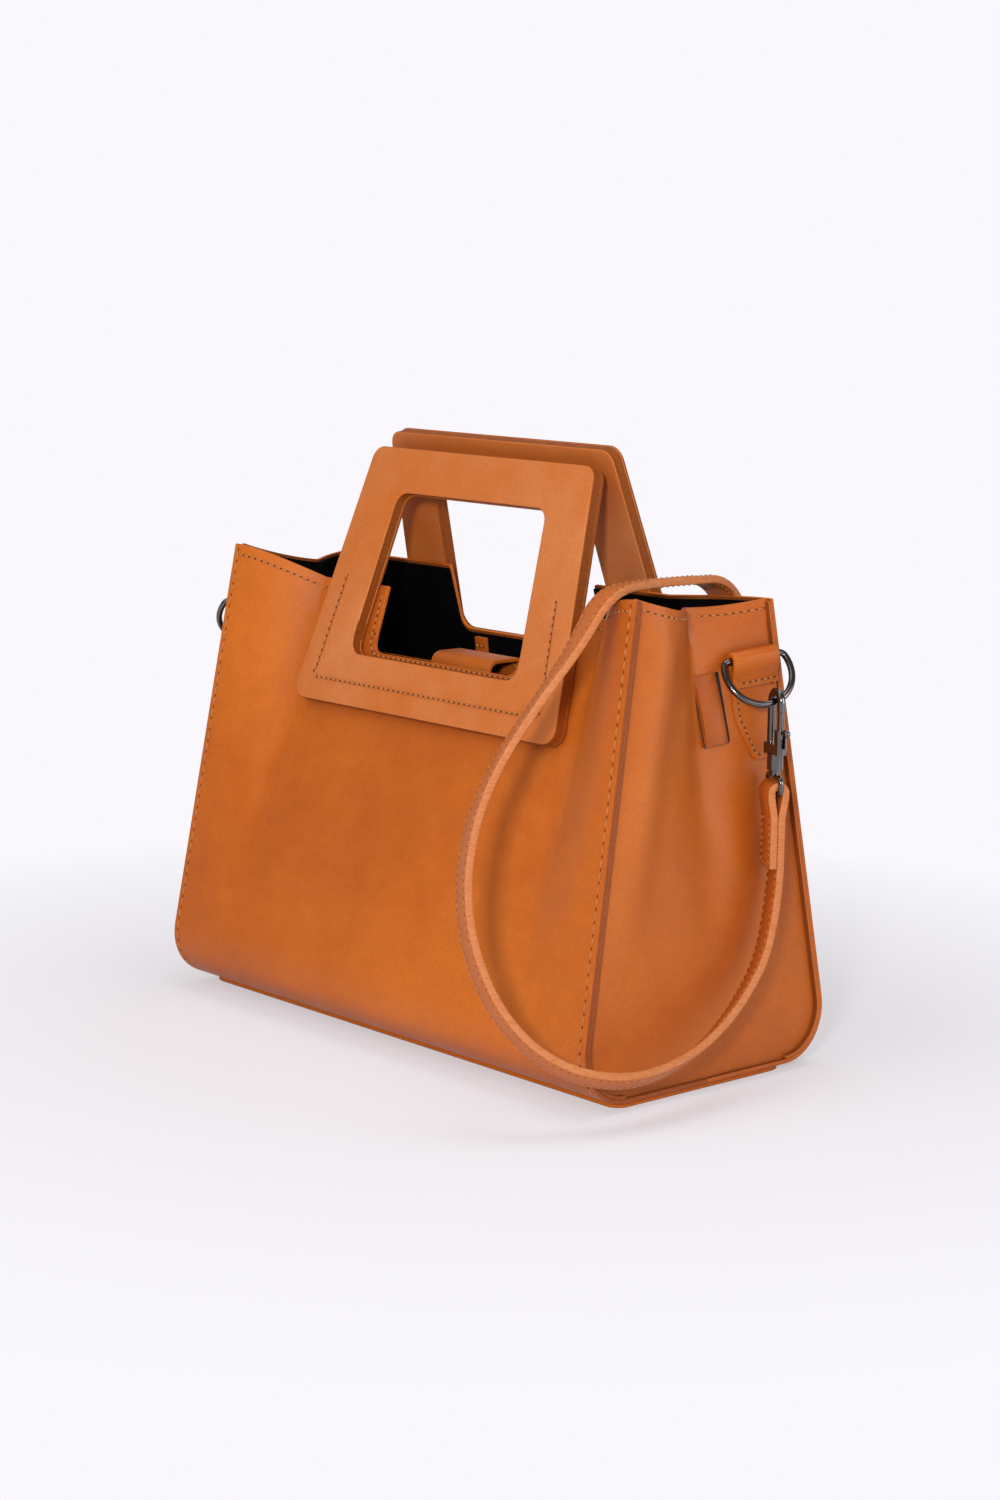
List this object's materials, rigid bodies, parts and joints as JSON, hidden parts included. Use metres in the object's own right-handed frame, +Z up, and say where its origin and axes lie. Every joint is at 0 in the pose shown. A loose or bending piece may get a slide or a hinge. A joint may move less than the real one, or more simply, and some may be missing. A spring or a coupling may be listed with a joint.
{
  "type": "top handle bag",
  "caption": "Structured leather top handle bag with trapezoid frame handles, folded side gussets, an inner zip pouch and a detachable shoulder strap on swivel snap hooks.",
  "frame": {"origin": "middle of the base, on the surface the bag stands on", "axes": "+Z up, +X to the right seen from the front, front of the bag towards -Y"},
  "size_m": [0.3558, 0.2377, 0.2779],
  "materials": {
    "bag_leather": "smooth tan leather, satin",
    "handle_leather": "smooth tan leather, satin",
    "strap_leather": "tan leather with pale raw edges",
    "pouch_leather": "tan leather, matt",
    "stiffening_board": "pressed board, hidden",
    "dark_lining": "black woven lining",
    "zip_tape": "woven tape",
    "gunmetal": "polished dark gunmetal plating",
    "spring_steel": "plain wire"
  },
  "bodies": {
    "bag": {"front_panel": "bag_leather", "back_panel": "bag_leather", "right_gusset": "bag_leather", "left_gusset": "bag_leather", "base_panel": "bag_leather", "front_handle_backing": "handle_leather", "front_handle_facing": "handle_leather", "back_handle_backing": "handle_leather", "back_handle_facing": "handle_leather", "front_handle_core": "stiffening_board", "back_handle_core": "stiffening_board", "base_board": "stiffening_board", "front_lining": "dark_lining", "back_lining": "dark_lining", "right_gusset_lining": "dark_lining", "left_gusset_lining": "dark_lining", "base_lining": "dark_lining", "right_cinch_band": "bag_leather", "right_ring_tab": "bag_leather", "left_cinch_band": "bag_leather", "left_ring_tab": "bag_leather", "shoulder_strap": "strap_leather", "pouch_front": "pouch_leather", "pouch_back": "pouch_leather", "zip_tapes": "zip_tape", "zip_teeth": "gunmetal", "closing_tab_root": "pouch_leather", "snap_plate": "gunmetal", "leash_anchor": "bag_leather"},
    "zip_slider": {"zip_slider": "gunmetal"},
    "zip_pull": {"zip_pull": "gunmetal"},
    "closing_tab": {"closing_tab": "pouch_leather", "snap_magnet": "gunmetal"},
    "key_leash": {"key_leash": "bag_leather", "leash_clip": "gunmetal"},
    "right_ring": {"right_d_ring": "gunmetal"},
    "right_hook": {"right_hook_body": "gunmetal", "right_gate_spring": "spring_steel"},
    "right_gate": {"right_hook_gate": "gunmetal"},
    "right_eye": {"right_hook_eye": "gunmetal", "right_strap_end": "strap_leather"},
    "left_ring": {"left_d_ring": "gunmetal"},
    "left_hook": {"left_hook_body": "gunmetal", "left_gate_spring": "spring_steel"},
    "left_gate": {"left_hook_gate": "gunmetal"},
    "left_eye": {"left_hook_eye": "gunmetal", "left_strap_end": "strap_leather"}
  },
  "joints": [
    {"name": "right_ring_swing", "type": "hinge", "parent": "bag", "child": "right_ring", "pos_m": [0.14057, 0.03047, 0.18867], "axis": [-0.3272, -0.9343, -0.1418], "range_deg": [0, 80], "deforming": ["shoulder_strap"]},
    {"name": "right_hook_swing", "type": "hinge", "parent": "right_ring", "child": "right_hook", "pos_m": [0.15369, 0.03236, 0.17063], "axis": [-0.3355, -0.9421, 0], "range_deg": [0, 60], "deforming": ["shoulder_strap"]},
    {"name": "right_gate_slide", "type": "slide", "parent": "right_hook", "child": "right_gate", "axis": [0, 0, -1], "range_m": [0, 0.006], "stiffness_N_per_m": 300, "springref_m": -0.004, "deforming": ["right_gate_spring"]},
    {"name": "right_eye_swivel", "type": "hinge", "parent": "right_hook", "child": "right_eye", "pos_m": [0.15369, 0.03236, 0.14763], "axis": [0, 0, 1], "continuous": true, "deforming": ["shoulder_strap"]},
    {"name": "left_ring_swing", "type": "hinge", "parent": "bag", "child": "left_ring", "pos_m": [-0.14057, -0.03047, 0.18867], "axis": [0.3272, 0.9343, -0.1418], "range_deg": [0, 80], "deforming": ["shoulder_strap"]},
    {"name": "left_hook_swing", "type": "hinge", "parent": "left_ring", "child": "left_hook", "pos_m": [-0.15369, -0.03236, 0.17063], "axis": [0.3355, 0.9421, 0], "range_deg": [0, 60], "deforming": ["shoulder_strap"]},
    {"name": "left_gate_slide", "type": "slide", "parent": "left_hook", "child": "left_gate", "axis": [0, 0, -1], "range_m": [0, 0.006], "stiffness_N_per_m": 300, "springref_m": -0.004, "deforming": ["left_gate_spring"]},
    {"name": "left_eye_swivel", "type": "hinge", "parent": "left_hook", "child": "left_eye", "pos_m": [-0.15369, -0.03236, 0.14763], "axis": [0, 0, 1], "continuous": true, "deforming": ["shoulder_strap"]},
    {"name": "zip_slide", "type": "slide", "parent": "bag", "child": "zip_slider", "axis": [-1, 0, 0], "range_m": [0, 0.14]},
    {"name": "zip_pull_swing", "type": "hinge", "parent": "zip_slider", "child": "zip_pull", "pos_m": [0.068, -0.006, 0.1719], "axis": [0, 1, 0], "range_deg": [0, 150]},
    {"name": "closing_tab_lift", "type": "hinge", "parent": "bag", "child": "closing_tab", "pos_m": [0, 0.00275, 0.1751], "axis": [-1, 0, 0], "range_deg": [0, 110]},
    {"name": "key_leash_swing", "type": "hinge", "parent": "bag", "child": "key_leash", "pos_m": [-0.036, 0.02713, 0.17029], "axis": [1, 0, 0], "range_deg": [-12, 8]}
  ]
}
